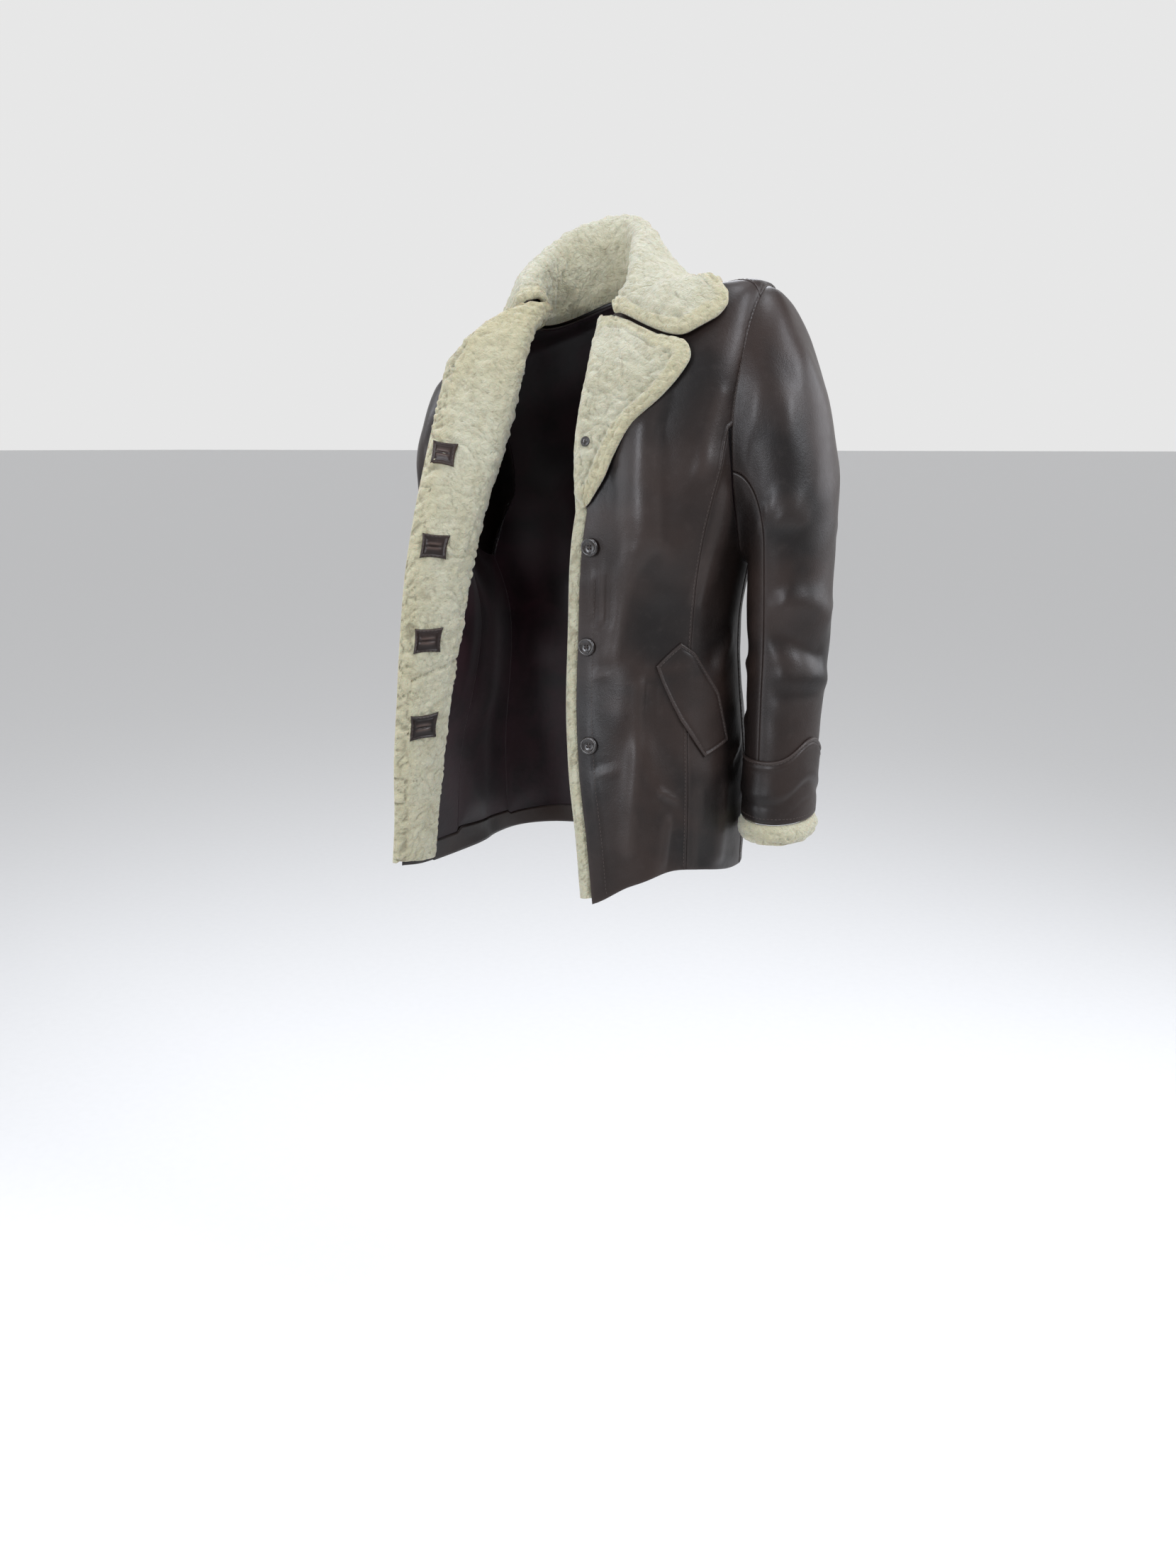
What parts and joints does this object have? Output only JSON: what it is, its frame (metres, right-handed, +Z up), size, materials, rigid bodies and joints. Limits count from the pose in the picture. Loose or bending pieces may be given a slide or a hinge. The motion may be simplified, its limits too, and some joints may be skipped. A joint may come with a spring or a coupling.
{
  "type": "leather jacket with shearling collar",
  "caption": "Hip-length leather jacket in its worn, hollow form, hanging open, with a shearling collar, lapels, front facings and cuff trims, slanting welt pockets and a burgundy lining.",
  "frame": {"origin": "midway between the two shoulder-neck points, where the wearer's shoulders carry the jacket", "axes": "+Z up, -Y towards the jacket's front, +X towards the wearer's left"},
  "size_m": [0.5428, 0.3313, 0.7862],
  "materials": {
    "leather": "smooth dark brown hide, half gloss",
    "shearling": "cream combed fur",
    "lining": "dark burgundy satin",
    "horn": "dark brown, polished"
  },
  "bodies": {
    "root": {"back_left": "leather", "back_right": "leather", "button_1_backing": "horn", "button_2": "horn", "button_3": "horn", "button_4": "horn", "buttonhole_patch_1": "leather", "buttonhole_patch_2": "leather", "buttonhole_patch_3": "leather", "buttonhole_patch_4": "leather", "collar": "shearling", "cuff_left": "leather", "cuff_right": "leather", "cuff_trim_left": "shearling", "cuff_trim_right": "shearling", "facing_left": "shearling", "facing_right": "shearling", "front_left": "leather", "front_right": "leather", "front_side_left": "leather", "front_side_right": "leather", "hem_turning_left": "leather", "hem_turning_right": "leather", "lapel_left": "shearling", "lapel_under_left": "leather", "lining_back_left": "lining", "lining_back_right": "lining", "lining_front_left": "lining", "lining_front_right": "lining", "lining_side_left": "lining", "lining_side_right": "lining", "pocket_welt_left": "leather", "pocket_welt_right": "leather", "sleeve_top_left": "leather", "sleeve_top_right": "leather", "sleeve_under_left": "leather", "sleeve_under_right": "leather", "undercollar": "leather"}
  },
  "joints": []
}
